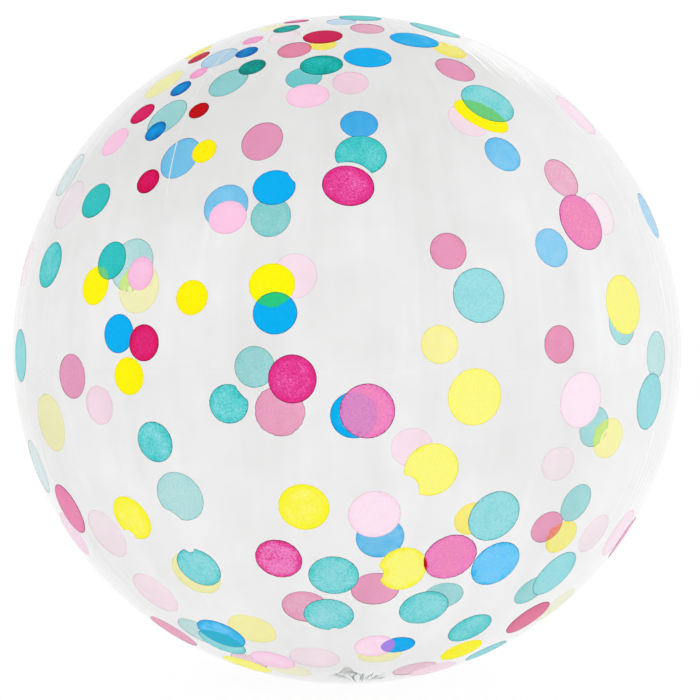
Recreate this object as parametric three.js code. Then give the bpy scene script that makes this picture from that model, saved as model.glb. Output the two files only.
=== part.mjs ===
// A clear bubble balloon: one welded bag of stretch film, blown up to a ball, tied at its neck and set
// down on the tie. The film round the tie is drawn up into a shallow star of pleats, so the ball rests on
// the flat ring of film round the star. The blown-up bag is sealed, so it is one solid here.
// The printed dots are only colour on the film and have no shape of their own.
//
// Millimetres, +Z up. The origin is on the ground under the middle of the ball, and the tied neck points
// straight down.

import * as THREE from "three";

// ---- driving dimensions ----
const BALL_RADIUS = 300; // a bag sold as 24 inch (610 mm), blown up to 600 mm
const REST_RADIUS = 34; // outside of the flat ring that the ball stands on
const DIMPLE_RADIUS = 24; // mouth of the dimple, and the reach of its pleats
const DIMPLE_DEPTH = 9; // from the ground up to the tie
const PLEATS = 18; // folds of film that run into the tie
const PLEAT_LIFT = 0.7; // most that a fold rises above the even dimple

// ---- the tied neck, which hangs inside the dimple ----
const NECK_RADIUS = 2.6; // the film squeezed together just above the knot
const KNOT_RADIUS = 5; // widest part of the knot
const KNOT_HEIGHT = 4; // of the rolled knot, from top to bottom
const TAIL_RADIUS = 4; // the trimmed end below the knot
const TAIL_CLEARANCE = 1.8; // from the ground up to the trimmed end
const TAIL_FRILL = 0.14; // how far the gathers show on the knot and the tail, as a share of their radius

// ---- fineness ----
const AROUND = 72; // facets round the ball: a multiple of four and of the pleats
const BALL_STEPS = 40; // rings from the flat ring to the top
const DIMPLE_STEPS = 8;
const KNOT_STEPS = 6;

const centreHeight = Math.sqrt(BALL_RADIUS ** 2 - REST_RADIUS ** 2);

// Height of the dimple's film, a share s of the way from the neck out to the mouth. It is steep at the
// neck and soon comes in level with the ground.
const dimpleHeight = (s) => DIMPLE_DEPTH * (1 - s) ** 3;

// Outline of the trimmed end and the knot: out across the end, up the tail and round the knot.
function neckOutline() {
  const knotMiddle = DIMPLE_DEPTH - KNOT_HEIGHT / 2 - NECK_RADIUS / 2;
  const outline = [
    new THREE.Vector2(0, TAIL_CLEARANCE),
    new THREE.Vector2(TAIL_RADIUS, TAIL_CLEARANCE),
    new THREE.Vector2(NECK_RADIUS, knotMiddle - KNOT_HEIGHT / 2),
  ];
  for (let i = 1; i < KNOT_STEPS; i++) {
    const turn = (Math.PI * i) / KNOT_STEPS;
    const swell = (KNOT_RADIUS - NECK_RADIUS) * Math.sin(turn);
    outline.push(new THREE.Vector2(NECK_RADIUS + swell, knotMiddle - (KNOT_HEIGHT / 2) * Math.cos(turn)));
  }
  return outline;
}

// Outline of the dimple, from the neck out and down to its mouth.
function dimpleOutline() {
  const outline = [];
  for (let i = 0; i <= DIMPLE_STEPS; i++) {
    const s = i / DIMPLE_STEPS;
    outline.push(new THREE.Vector2(THREE.MathUtils.lerp(NECK_RADIUS, DIMPLE_RADIUS, s), dimpleHeight(s)));
  }
  return outline;
}

// Outline of the ball, from the outside of the flat ring up to the top. One step falls on the widest
// place, so that the ball has its full width.
function ballOutline() {
  const start = -Math.asin(centreHeight / BALL_RADIUS);
  const below = Math.round(BALL_STEPS / 2);
  const above = BALL_STEPS - below;
  const outline = [];
  for (let i = 0; i <= BALL_STEPS; i++) {
    const tilt = i <= below ? start * (1 - i / below) : (Math.PI / 2) * ((i - below) / above);
    const radius = i === BALL_STEPS ? 0 : BALL_RADIUS * Math.cos(tilt);
    outline.push(new THREE.Vector2(radius, centreHeight + BALL_RADIUS * Math.sin(tilt)));
  }
  return outline;
}

// Draws the folds into the turned bag. The knot and the tail take the gathers in and out, and the dimple's
// film is lifted into folds round the neck, most half-way out to the mouth.
function gatherFilm(geometry, neckPoints, dimplePoints, outlinePoints) {
  const places = geometry.attributes.position;
  for (let i = 0; i < places.count; i++) {
    const x = places.getX(i);
    const y = places.getY(i);
    const fold = Math.cos(PLEATS * Math.atan2(y, x));
    const step = i % outlinePoints;
    if (step < neckPoints) {
      const frill = 1 + TAIL_FRILL * fold;
      places.setXY(i, x * frill, y * frill);
    } else if (step < neckPoints + dimplePoints) {
      const share = (step - neckPoints) / DIMPLE_STEPS;
      const lift = (PLEAT_LIFT * (1 + fold) * Math.sin(Math.PI * share)) / 2;
      places.setZ(i, places.getZ(i) + lift);
    }
  }
  geometry.computeVertexNormals();
}

function filmBag() {
  const neck = neckOutline();
  const dimple = dimpleOutline();
  const outline = [...neck, ...dimple, ...ballOutline()];
  const geometry = new THREE.LatheGeometry(outline, AROUND);
  geometry.rotateX(Math.PI / 2); // the lathe turns about Y, and the balloon stands along Z
  gatherFilm(geometry, neck.length, dimple.length, outline.length);
  return geometry;
}

const clearFilm = new THREE.MeshStandardMaterial({
  color: 0xe9edec,
  roughness: 0.08,
  metalness: 0,
  transparent: true,
  opacity: 0.35,
});

const balloon = new THREE.Group();
const bag = new THREE.Mesh(filmBag(), clearFilm);
bag.name = "balloon_film";
balloon.add(bag);

export default balloon;
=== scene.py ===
"""Looks of a clear bubble balloon that is printed with coloured dots.

A thin shell of clear film stands for the blown-up bag: the ball, the flat ring that it rests on, the pleated
dimple, the knot and the trimmed end.  The dots are caps of ink on the film, one piece for each ink.  Lengths
are in metres, in the frame's own axes: +Z up, -Y towards the viewer, the ground at height 0.
"""

import logging
import math
from dataclasses import dataclass, field
from enum import Enum
from typing import ClassVar

import bpy
import numpy as np
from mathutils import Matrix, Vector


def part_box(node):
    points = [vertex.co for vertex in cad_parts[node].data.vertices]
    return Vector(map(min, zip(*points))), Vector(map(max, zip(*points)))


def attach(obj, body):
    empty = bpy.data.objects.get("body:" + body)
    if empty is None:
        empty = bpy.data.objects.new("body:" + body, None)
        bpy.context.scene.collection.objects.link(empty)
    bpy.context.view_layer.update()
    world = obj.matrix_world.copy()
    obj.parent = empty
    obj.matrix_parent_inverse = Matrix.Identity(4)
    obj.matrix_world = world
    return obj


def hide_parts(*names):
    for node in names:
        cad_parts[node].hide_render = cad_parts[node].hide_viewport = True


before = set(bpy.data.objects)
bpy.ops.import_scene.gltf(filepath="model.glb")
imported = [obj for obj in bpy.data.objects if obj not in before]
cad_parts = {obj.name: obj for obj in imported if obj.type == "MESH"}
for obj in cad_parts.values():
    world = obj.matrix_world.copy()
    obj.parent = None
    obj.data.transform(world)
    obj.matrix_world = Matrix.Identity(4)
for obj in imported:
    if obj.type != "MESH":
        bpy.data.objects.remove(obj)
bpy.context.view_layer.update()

MM = 0.001
FULL_TURN = 2.0 * math.pi
FILM_NODE = "balloon_film"
BODY = "root"
PLASTIC_REFRACTION = 1.45
PICTURE_SIDE = 700.0
SEE_THROUGH_LAYERS = 32
SECTION_POINTS = 6  # round the cross-section of a slender band or fold
NOISE_MOST = (0.25, 0.75)  # where nearly all values of a noise lie
NOISE_MIDDLE = (0.3, 0.7)  # where most of them lie
LOG = logging.getLogger("bubble_balloon")

Colour = tuple[float, float, float]
Linear = tuple[float, float, float, float]


# ---------------------------------------------------------------------------------------------------------
# helpers
# ---------------------------------------------------------------------------------------------------------


def display_colour(red: float, green: float, blue: float) -> Linear:
    """Turns a display colour into a linear one.

    Args:
        red, green, blue: display levels from 0 to 255.
    Returns:
        The linear colour with full alpha: each level to the power 2.4, with the usual straight foot.
    """
    levels = np.array([red, green, blue], float) / 255.0
    straight = levels / 12.92
    curved = ((levels + 0.055) / 1.055) ** 2.4
    linear = np.where(levels <= 0.04045, straight, curved)
    return (float(linear[0]), float(linear[1]), float(linear[2]), 1.0)


def as_linear(colour: Colour | Linear) -> Linear:
    """Leaves a linear colour of four numbers as it is, and turns a display colour of three into one."""
    return colour if len(colour) == 4 else display_colour(*colour)


def sphere_direction(longitude: np.ndarray, latitude: np.ndarray) -> np.ndarray:
    """Unit vectors from longitude and latitude.

    Longitude 0 faces the viewer, along -Y, and grows towards +X.

    Args:
        longitude: radians.
        latitude: radians, up from the ball's widest place.
    Returns:
        Array of unit vectors, in the last axis.
    """
    level = np.cos(latitude)
    parts = (np.sin(longitude) * level, -np.cos(longitude) * level, np.sin(latitude))
    return np.stack(np.broadcast_arrays(*parts), axis=-1)


def smooth_step(values: np.ndarray, low: float, high: float) -> np.ndarray:
    """Rises from 0 at low to 1 at high, level at both ends: 3s^2 - 2s^3."""
    share = np.clip((values - low) / (high - low), 0.0, 1.0)
    return share * share * (3.0 - 2.0 * share)


def ring_faces(rows: int, columns: int, start: int) -> np.ndarray:
    """Four-sided faces of a grid that closes on itself across its columns.

    Args:
        rows: rings in the grid.
        columns: points round each ring.
        start: number of the grid's first point in its mesh.
    Returns:
        Array of (rows - 1) * columns faces. They face along (round the ring) x (from row to row).
    """
    row, column = np.meshgrid(np.arange(rows - 1), np.arange(columns), indexing="ij")
    beside = (column + 1) % columns
    corners = (
        row * columns + column,
        row * columns + beside,
        (row + 1) * columns + beside,
        (row + 1) * columns + column,
    )
    return np.stack(corners, axis=-1).reshape(-1, 4) + start


def fan_faces(pole: int, first: int, columns: int) -> np.ndarray:
    """Three-sided faces from a pole to a ring.

    Args:
        pole: number of the pole's point in its mesh.
        first: number of the ring's first point.
        columns: points round the ring.
    Returns:
        Array of faces. They face along (round the ring) x (away from the pole).
    """
    column = np.arange(columns)
    beside = (column + 1) % columns
    return np.stack((np.full(columns, pole), first + beside, first + column), axis=-1)


def make_piece(name: str, points: np.ndarray, faces: list[np.ndarray], slot: str) -> bpy.types.Object:
    """Makes one smooth-shaded piece that rides on the balloon's body.

    Args:
        name: the piece's name.
        points: its points, one row each.
        faces: arrays of faces, each array with its own number of corners.
        slot: not used.
    Returns:
        The new object, unmoved and unturned, with its place in its mesh.
    """
    mesh = bpy.data.meshes.new(name)
    listed = [face for group in faces for face in group.tolist()]
    mesh.from_pydata(points.tolist(), [], listed)
    mesh.shade_smooth()
    mesh.update()
    piece = bpy.data.objects.new(name, mesh)
    bpy.context.scene.collection.objects.link(piece)
    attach(piece, BODY)
    return piece


def add_point_values(piece: bpy.types.Object, name: str, values: np.ndarray) -> None:
    """Stores one number for each point of a piece, for its material to read."""
    attribute = piece.data.attributes.new(name, "FLOAT", "POINT")
    attribute.data.foreach_set("value", values.astype(np.float32).ravel())


class NodeBench:
    """A material's node tree, with short methods for the nodes that these finishes use."""

    def __init__(self, name: str) -> None:
        """Starts a material with one Principled shader.

        Args:
            name: the material's name.
        """
        self.material = bpy.data.materials.new(name)
        self.material.use_nodes = True
        self.tree = self.material.node_tree
        self.shader = self.tree.nodes["Principled BSDF"]

    def add(self, kind: str, **settings: object) -> bpy.types.Node:
        """Adds a node.

        Args:
            kind: the node's type.
            settings: its properties by name.
        Returns:
            The node.
        """
        node = self.tree.nodes.new(kind)
        for key, value in settings.items():
            setattr(node, key, value)
        return node

    def join(self, source: bpy.types.NodeSocket, target: bpy.types.NodeSocket) -> None:
        """Links one socket to another."""
        self.tree.links.new(source, target)

    def plain(self, **values: object) -> None:
        """Sets plain values on the shader's own sockets; an underscore in a name stands for a space."""
        for key, value in values.items():
            self.shader.inputs[key.replace("_", " ")].default_value = value

    def place(self) -> bpy.types.NodeSocket:
        """The object's own coordinates, in metres."""
        return self.add("ShaderNodeTexCoord").outputs["Object"]

    def noise(
        self, place: bpy.types.NodeSocket, scale: float, detail: float = 2.0, roughness: float = 0.5
    ) -> bpy.types.NodeSocket:
        """Soft noise from 0 to 1.

        Args:
            place: where it is read.
            scale: features to the unit of the place.
            detail: how many finer layers it has.
            roughness: how strong the finer layers are.
        Returns:
            The noise's socket.
        """
        node = self.add("ShaderNodeTexNoise")
        node.inputs["Scale"].default_value = scale
        node.inputs["Detail"].default_value = detail
        node.inputs["Roughness"].default_value = roughness
        self.join(place, node.inputs["Vector"])
        return node.outputs["Fac"]

    def point_value(self, name: str) -> bpy.types.NodeSocket:
        """The number stored at each point under that name."""
        return self.add("ShaderNodeAttribute", attribute_name=name).outputs["Fac"]

    def along(self, place: bpy.types.NodeSocket, slope: tuple[float, float, float]) -> bpy.types.NodeSocket:
        """How far a place lies along a direction.

        Args:
            place: the place.
            slope: the direction, whose length stretches the result.
        Returns:
            The dot product of the two.
        """
        node = self.add("ShaderNodeVectorMath", operation="DOT_PRODUCT")
        node.inputs[1].default_value = slope
        self.join(place, node.inputs[0])
        return node.outputs["Value"]

    def span(
        self,
        source: bpy.types.NodeSocket,
        low: float,
        high: float,
        to_low: float = 0.0,
        to_high: float = 1.0,
    ) -> bpy.types.NodeSocket:
        """Maps one span of numbers to another and holds the ends.

        Args:
            source: the number.
            low, high: the span that it comes from.
            to_low, to_high: the span that it goes to.
        Returns:
            The mapped number.
        """
        node = self.add("ShaderNodeMapRange")
        for key, value in (("From Min", low), ("From Max", high), ("To Min", to_low), ("To Max", to_high)):
            node.inputs[key].default_value = value
        self.join(source, node.inputs["Value"])
        return node.outputs["Result"]

    def reckon(
        self, operation: str, first: bpy.types.NodeSocket, second: bpy.types.NodeSocket | float
    ) -> bpy.types.NodeSocket:
        """One sum on two numbers.

        Args:
            operation: the Math node's operation.
            first, second: the numbers.
        Returns:
            The result.
        """
        node = self.add("ShaderNodeMath", operation=operation)
        self.join(first, node.inputs[0])
        if isinstance(second, float):
            node.inputs[1].default_value = second
        else:
            self.join(second, node.inputs[1])
        return node.outputs["Value"]

    def ramp(
        self, source: bpy.types.NodeSocket, stops: list[tuple[float, Colour | Linear]]
    ) -> bpy.types.NodeSocket:
        """A run of colours.

        Args:
            source: a share from 0 to 1.
            stops: pairs of a share and the colour there.
        Returns:
            The colour.
        """
        node = self.add("ShaderNodeValToRGB")
        elements = node.color_ramp.elements
        while len(elements) < len(stops):
            elements.new(0.5)
        for element, (place, colour) in zip(elements, stops):
            element.position = place
            element.color = as_linear(colour)
        self.join(source, node.inputs["Fac"])
        return node.outputs["Color"]

    def blend(
        self,
        share: bpy.types.NodeSocket,
        first: bpy.types.NodeSocket,
        second: bpy.types.NodeSocket | Colour | Linear,
        mode: str = "MIX",
    ) -> bpy.types.NodeSocket:
        """Mixes two colours.

        Args:
            share: how much of the second is mixed in, from 0 to 1.
            first: the first colour.
            second: the second colour, as a socket or a plain value.
            mode: the Mix node's way of mixing.
        Returns:
            The mixed colour.
        """
        node = self.add("ShaderNodeMix", data_type="RGBA", blend_type=mode)
        share_socket, first_socket, second_socket = (node.inputs[number] for number in (0, 6, 7))
        self.join(share, share_socket)
        self.join(first, first_socket)
        if isinstance(second, tuple):
            second_socket.default_value = as_linear(second)
        else:
            self.join(second, second_socket)
        return node.outputs[2]

    def scale_colour(
        self, colour: bpy.types.NodeSocket, share: bpy.types.NodeSocket
    ) -> bpy.types.NodeSocket:
        """Makes a colour lighter or darker.

        Args:
            colour: the colour.
            share: a number near 1 that multiplies it.
        Returns:
            The new colour.
        """
        node = self.add("ShaderNodeVectorMath", operation="SCALE")
        self.join(colour, node.inputs[0])
        self.join(share, node.inputs["Scale"])
        return node.outputs["Vector"]

    def meridian_place(self, around: float, upwards: float) -> bpy.types.NodeSocket:
        """Places for a pattern that runs along the ball's meridians.

        The object's own coordinates, with the level part brought to length 1 and times around, and the
        height times upwards.

        Args:
            around: features to the metre on a level circle of 1 m radius.
            upwards: features to the metre of height.
        Returns:
            The vector socket.
        """
        coordinates = self.place()
        flat = self.add("ShaderNodeVectorMath", operation="MULTIPLY")
        flat.inputs[1].default_value = (1.0, 1.0, 0.0)
        unit = self.add("ShaderNodeVectorMath", operation="NORMALIZE")
        wide = self.add("ShaderNodeVectorMath", operation="MULTIPLY")
        wide.inputs[1].default_value = (around, around, 0.0)
        tall = self.add("ShaderNodeVectorMath", operation="MULTIPLY")
        tall.inputs[1].default_value = (0.0, 0.0, upwards)
        both = self.add("ShaderNodeVectorMath", operation="ADD")
        self.join(coordinates, flat.inputs[0])
        self.join(flat.outputs["Vector"], unit.inputs[0])
        self.join(unit.outputs["Vector"], wide.inputs[0])
        self.join(coordinates, tall.inputs[0])
        self.join(wide.outputs["Vector"], both.inputs[0])
        self.join(tall.outputs["Vector"], both.inputs[1])
        return both.outputs["Vector"]

    def let_light_through(self, colour: bpy.types.NodeSocket, share: float) -> None:
        """Mixes in light that comes through from behind.

        Args:
            colour: the colour that it takes on.
            share: how much of the face's light it makes up, from 0 to 1.
        """
        behind = self.add("ShaderNodeBsdfTranslucent")
        self.join(colour, behind.inputs["Color"])
        mix = self.add("ShaderNodeMixShader")
        mix.inputs["Fac"].default_value = share
        self.join(self.shader.outputs["BSDF"], mix.inputs[1])
        self.join(behind.outputs["BSDF"], mix.inputs[2])
        self.join(mix.outputs["Shader"], self.tree.nodes["Material Output"].inputs["Surface"])

    def bump(self, height: bpy.types.NodeSocket, distance: float, strength: float) -> None:
        """Tilts the shader's normal.

        Args:
            height: a share from 0 to 1.
            distance: the height in metres that 1 stands for.
            strength: how much of the tilt is used.
        """
        node = self.add("ShaderNodeBump")
        node.inputs["Distance"].default_value = distance
        node.inputs["Strength"].default_value = strength
        self.join(height, node.inputs["Height"])
        self.join(node.outputs["Normal"], self.shader.inputs["Normal"])


# ---------------------------------------------------------------------------------------------------------
# the blown-up form, shared by the film and the print
# ---------------------------------------------------------------------------------------------------------


@dataclass(frozen=True)
class BallForm:
    """The ball's sizes from the frame, and the film's slight ripples over it.

    Attributes:
        radius: the solid ball's radius.
        centre: height of its centre.
        ink_room: how far the film lies inside the solid, which leaves room for the ink.
        ripple_depth: depth of the slack ripples.
        gather_depth, gather_reach: depth of the creases that run up from the tie, and how far they run.
    """

    radius: float
    centre: float
    ink_room: float = 0.30 * MM
    ripple_depth: float = 0.10 * MM
    gather_depth: float = 0.40 * MM
    gather_reach: float = 26.0 * MM

    @classmethod
    def from_frame(cls) -> "BallForm":
        """Reads the ball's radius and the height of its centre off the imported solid."""
        low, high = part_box(FILM_NODE)
        radius = (high.x - low.x) / 2.0
        return cls(radius=radius, centre=high.z - radius)

    @property
    def film_radius(self) -> float:
        """The film's radius where it isn't rippled."""
        return self.radius - self.ink_room

    def skin(self, directions: np.ndarray) -> np.ndarray:
        """Distance from the ball's centre out to the film.

        The film radius less two things: slack ripples, which are three cosines of the longitude bent by the
        latitude and fading to the poles, and creases round the tie, which fade with the distance from it.

        Args:
            directions: unit vectors, in the last axis.
        Returns:
            One distance for each vector.
        """
        longitude = np.arctan2(directions[..., 0], -directions[..., 1])
        latitude = np.arcsin(np.clip(directions[..., 2], -1.0, 1.0))
        level = np.cos(latitude)
        waves = 0.50 * np.cos(7.0 * longitude + 1.9 * np.sin(2.0 * latitude))
        waves += 0.30 * np.cos(16.0 * longitude + 2.6 * np.sin(1.4 * latitude) + 1.0)
        waves += 0.20 * np.cos(31.0 * longitude + 3.4 * np.sin(2.3 * latitude) + 2.0)
        ripple = self.ripple_depth * level ** 1.5 * (0.5 + 0.5 * waves)
        from_tie = self.radius * (latitude + math.pi / 2.0)
        fold = 0.6 * np.cos(24.0 * longitude + 0.8 * np.sin(3.0 * longitude))
        fold += 0.4 * np.cos(41.0 * longitude + 1.1 * np.sin(2.0 * longitude))
        gather = self.gather_depth * np.exp(-from_tie / self.gather_reach) * (0.5 + 0.5 * fold)
        return self.film_radius - ripple - gather


# ---------------------------------------------------------------------------------------------------------
# the film bag
# ---------------------------------------------------------------------------------------------------------


@dataclass(frozen=True)
class HazeNoise:
    """One noise in the film's haze.

    Attributes:
        around: features to the metre; for streaks, on a level circle of 1 m radius.
        upwards: for streaks up the ball, features to the metre of height; otherwise 0.
        detail: how many finer layers it has.
        roughness: how strong those are.
        weight: its share in the haze's tone.
    """

    around: float
    upwards: float
    detail: float
    roughness: float
    weight: float

    def tone(self, bench: NodeBench, place: bpy.types.NodeSocket) -> bpy.types.NodeSocket:
        """Builds the noise.

        Args:
            bench: the film's node tree.
            place: the object's own coordinates.
        Returns:
            The noise times its weight.
        """
        if self.upwards > 0.0:
            streaks = bench.meridian_place(self.around, self.upwards)
            noise = bench.noise(streaks, 1.0, self.detail, self.roughness)
        else:
            noise = bench.noise(place, self.around, self.detail, self.roughness)
        return bench.reckon("MULTIPLY", noise, self.weight)


@dataclass(frozen=True)
class HazeDrift:
    """A slow change of the haze across the ball, which paints light, shade and a reflection into it along a
    direction.

    Attributes:
        slope: direction that it follows.
        start, end: metres along that direction between which it changes.
        at_start, at_end: what it adds to the haze's tone at each.
    """

    slope: tuple[float, float, float]
    start: float
    end: float
    at_start: float
    at_end: float

    def tone(self, bench: NodeBench, place: bpy.types.NodeSocket) -> bpy.types.NodeSocket:
        """The change at a place."""
        return bench.span(bench.along(place, self.slope), self.start, self.end, self.at_start, self.at_end)


@dataclass(frozen=True)
class ClearFilmFinish:
    """Clear stretch film: nearly all see-through, with a faint grey haze and a sharp gloss.

    Attributes:
        haze: pairs of a tone and the display colour there.
        cloud, streaks, smudges, lines: the noises that make up the tone.
        painted_reflection_upper_left, right, low: the drifts: a painted reflection of a dark room that
        darkens the upper left, painted light that pales the right side, and painted shade that darkens the
        bottom.
        solidness: share of the light that one face of the film holds back.
        gloss, gloss_dull: roughness where it is clearest and where it is dullest.
        dull_patches: features to the metre of the duller patches.
        ripples: fine ripples up the ball, whose weight is the strength of their bump.
        ripple_height: their height.
    """

    haze: tuple[tuple[float, Colour], ...] = (
        (0.34, (66, 62, 52)),
        (0.5, (158, 159, 157)),
        (0.64, (204, 206, 207)),
    )
    cloud: HazeNoise = HazeNoise(7.0, 0.0, 6.0, 0.64, 0.42)
    streaks: HazeNoise = HazeNoise(9.0, 2.0, 4.0, 0.6, 0.24)
    smudges: HazeNoise = HazeNoise(42.0, 0.0, 5.0, 0.7, 0.18)
    lines: HazeNoise = HazeNoise(46.0, 4.0, 3.0, 0.6, 0.16)
    # painted reflection of a dark room: the haze grows darker towards the upper left
    painted_reflection_upper_left: HazeDrift = HazeDrift((-0.35, 0.0, 1.0), 0.40, 0.52, 0.0, -0.13)
    # painted light: the haze grows paler towards the right
    right: HazeDrift = HazeDrift((1.0, 0.0, 0.0), 0.04, 0.26, 0.0, 0.055)
    # painted shade: the haze grows darker towards the bottom
    low: HazeDrift = HazeDrift((0.4, 0.0, 1.0), 0.12, 0.30, -0.02, 0.0)
    solidness: float = 0.085
    gloss: float = 0.06
    gloss_dull: float = 0.14
    dull_patches: float = 9.0
    ripples: HazeNoise = HazeNoise(34.0, 5.0, 3.0, 0.5, 0.6)
    ripple_height: float = 2.0 * MM

    def material(self) -> bpy.types.Material:
        """Builds the film's material.

        Returns:
            A material whose greys follow the sum of the noises and the drifts.
        """
        bench = NodeBench("clear_film")
        bench.plain(Alpha=self.solidness, IOR=PLASTIC_REFRACTION, Specular_IOR_Level=0.5)
        place = bench.place()
        parts = (self.painted_reflection_upper_left, self.right, self.low, self.cloud, self.streaks, self.smudges, self.lines)
        tones = [part.tone(bench, place) for part in parts]
        tone = tones[0]
        for added in tones[1:]:
            tone = bench.reckon("ADD", tone, added)
        bench.join(bench.ramp(tone, list(self.haze)), bench.shader.inputs["Base Color"])
        patches = bench.noise(place, self.dull_patches, detail=3.0)
        dull = bench.span(patches, *NOISE_MIDDLE, self.gloss, self.gloss_dull)
        bench.join(dull, bench.shader.inputs["Roughness"])
        fine = self.ripples
        streaks = bench.meridian_place(fine.around, fine.upwards)
        height = bench.noise(streaks, 1.0, fine.detail, fine.roughness)
        bench.bump(height, self.ripple_height, fine.weight)
        return bench.material


@dataclass(frozen=True)
class FilmBag:
    """The welded bag: a hollow shell with the ball, the ring, the pleated dimple, the knot and the tail.

    Attributes:
        ball: the blown-up form.
        finish: the film's finish.
        wall: the film's thickness.
        dimple_radius, dimple_depth: size of the dimple that the neck is drawn up into.
        pleats, pleat_lift: how many main pleats run round the dimple, and how far they lift it.
        neck_radius: of the gathered neck over and under the knot.
        knot_radius, knot_height: size of the knot.
        tail_radius: of the trimmed end.
        tail_clearance: height of the trimmed end over the ground.
        tail_frill: how far the pleats move the knot and the end, as a share of their radius.
        columns: points round the bag.
        ball_rows, dimple_rows, knot_rows, tail_rows: steps up each part.
    """

    ball: BallForm
    finish: ClearFilmFinish = field(default_factory=ClearFilmFinish)
    wall: float = 0.15 * MM
    dimple_radius: float = 24.0 * MM
    dimple_depth: float = 9.0 * MM
    pleats: int = 18
    pleat_lift: float = 0.7 * MM
    neck_radius: float = 2.6 * MM
    knot_radius: float = 5.0 * MM
    knot_height: float = 4.0 * MM
    tail_radius: float = 4.0 * MM
    tail_clearance: float = 1.8 * MM
    tail_frill: float = 0.14
    columns: int = 264
    ball_rows: int = 112
    dimple_rows: int = 20
    knot_rows: int = 12
    tail_rows: int = 6

    def longitudes(self) -> np.ndarray:
        """Even longitudes round the bag."""
        return np.linspace(-math.pi, math.pi, self.columns, endpoint=False)

    def fold(self, longitude: np.ndarray) -> np.ndarray:
        """Rise and fall of the pleats round the tie: the main count, slightly uneven, and finer folds.

        Args:
            longitude: radians.
        Returns:
            Numbers from -1 to 1.
        """
        main = np.cos(self.pleats * longitude + 0.9 * np.sin(2.0 * longitude))
        fine = np.cos(29.0 * longitude + 1.3 * np.sin(3.0 * longitude))
        return 0.65 * main + 0.35 * fine

    def tie_grid(self, longitude: np.ndarray) -> np.ndarray:
        """Trimmed end and knot.

        The tail goes out along its cut end and up to the knot, narrowing evenly. The knot's radius swells
        from the neck's by a sine of the share of its height. Both are frilled by the folds.

        Args:
            longitude: the grid's columns.
        Returns:
            Points by row, column and axis.
        """
        knot_middle = self.dimple_depth - self.knot_height / 2.0 - self.neck_radius / 2.0
        end = np.linspace(0.35, 1.0, 3) * self.tail_radius
        end_height = np.full(3, self.tail_clearance)
        up = np.linspace(0.0, 1.0, self.tail_rows + 1)[1:]
        tail = self.tail_radius + (self.neck_radius - self.tail_radius) * np.sqrt(up)
        knot_foot = knot_middle - self.knot_height / 2.0
        tail_height = self.tail_clearance + (knot_foot - self.tail_clearance) * up
        turn = np.linspace(0.0, math.pi, self.knot_rows + 1)[1:-1]
        knot = self.neck_radius + (self.knot_radius - self.neck_radius) * np.sin(turn)
        knot_rise = knot_middle - self.knot_height / 2.0 * np.cos(turn)
        radius = np.concatenate((end, tail, knot))[:, None]
        height = np.concatenate((end_height, tail_height, knot_rise))[:, None]
        radius = radius * (1.0 + self.tail_frill * self.fold(longitude)[None, :])
        return self.turned(longitude, radius, height)

    def dimple_grid(self, longitude: np.ndarray) -> np.ndarray:
        """Pleated dimple: its height falls as (1 - s)^3 to the mouth, and folds lift it most half-way.

        Args:
            longitude: the grid's columns.
        Returns:
            Points by row, column and axis.
        """
        share = np.linspace(0.0, 1.0, self.dimple_rows + 1)[:, None]
        radius = self.neck_radius + (self.dimple_radius - self.neck_radius) * share
        lift = self.pleat_lift * (0.5 + 0.5 * self.fold(longitude)[None, :]) * np.sin(math.pi * share)
        height = self.dimple_depth * (1.0 - share) ** 3 + lift
        return self.turned(longitude, radius, height)

    def ball_grid(self, longitude: np.ndarray) -> np.ndarray:
        """The ball from the flat ring up to just below the crown, with its ripples and creases.

        Args:
            longitude: the grid's columns.
        Returns:
            Points by row, column and axis.
        """
        foot = -math.asin(self.ball.centre / self.ball.film_radius)
        even = np.linspace(0.0, 1.0, self.ball_rows + 1)[:-1]
        latitude = (foot + (math.pi / 2.0 - foot) * even)[:, None]
        directions = sphere_direction(longitude[None, :], latitude)
        points = directions * self.ball.skin(directions)[..., None]
        points[..., 2] += self.ball.centre
        points[..., 2] = np.maximum(points[..., 2], 0.0)
        return points

    def turned(self, longitude: np.ndarray, radius: np.ndarray, height: np.ndarray) -> np.ndarray:
        """Carries rings round the axis.

        Args:
            longitude: the grid's columns.
            radius: distance from the axis by row, or by row and column.
            height: height in the same way.
        Returns:
            Points by row, column and axis.
        """
        level = sphere_direction(longitude[None, :], np.zeros((1, 1)))
        points = level * np.broadcast_to(radius, (radius.shape[0], longitude.size))[..., None]
        points[..., 2] = height
        return points

    def outer_skin(self) -> np.ndarray:
        """All rings of the outside.

        Returns:
            Points by row, column and axis, from the trimmed end up to the crown.
        """
        longitude = self.longitudes()
        parts = (self.tie_grid(longitude), self.dimple_grid(longitude), self.ball_grid(longitude))
        return np.concatenate(parts, axis=0)

    def inner_skin(self, outside: np.ndarray) -> np.ndarray:
        """The film's inside, which is the outside moved in by the wall along the grid's own normals.

        Args:
            outside: the outer skin's points.
        Returns:
            Points of the dimple's and the ball's rings alone.
        """
        around = np.roll(outside, -1, axis=1) - np.roll(outside, 1, axis=1)
        along = np.gradient(outside, axis=0)
        normals = np.cross(around, along)
        normals /= np.linalg.norm(normals, axis=-1, keepdims=True)
        hollow_rows = self.dimple_rows + 1 + self.ball_rows
        moved = outside - self.wall * normals
        return moved[-hollow_rows:]

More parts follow.
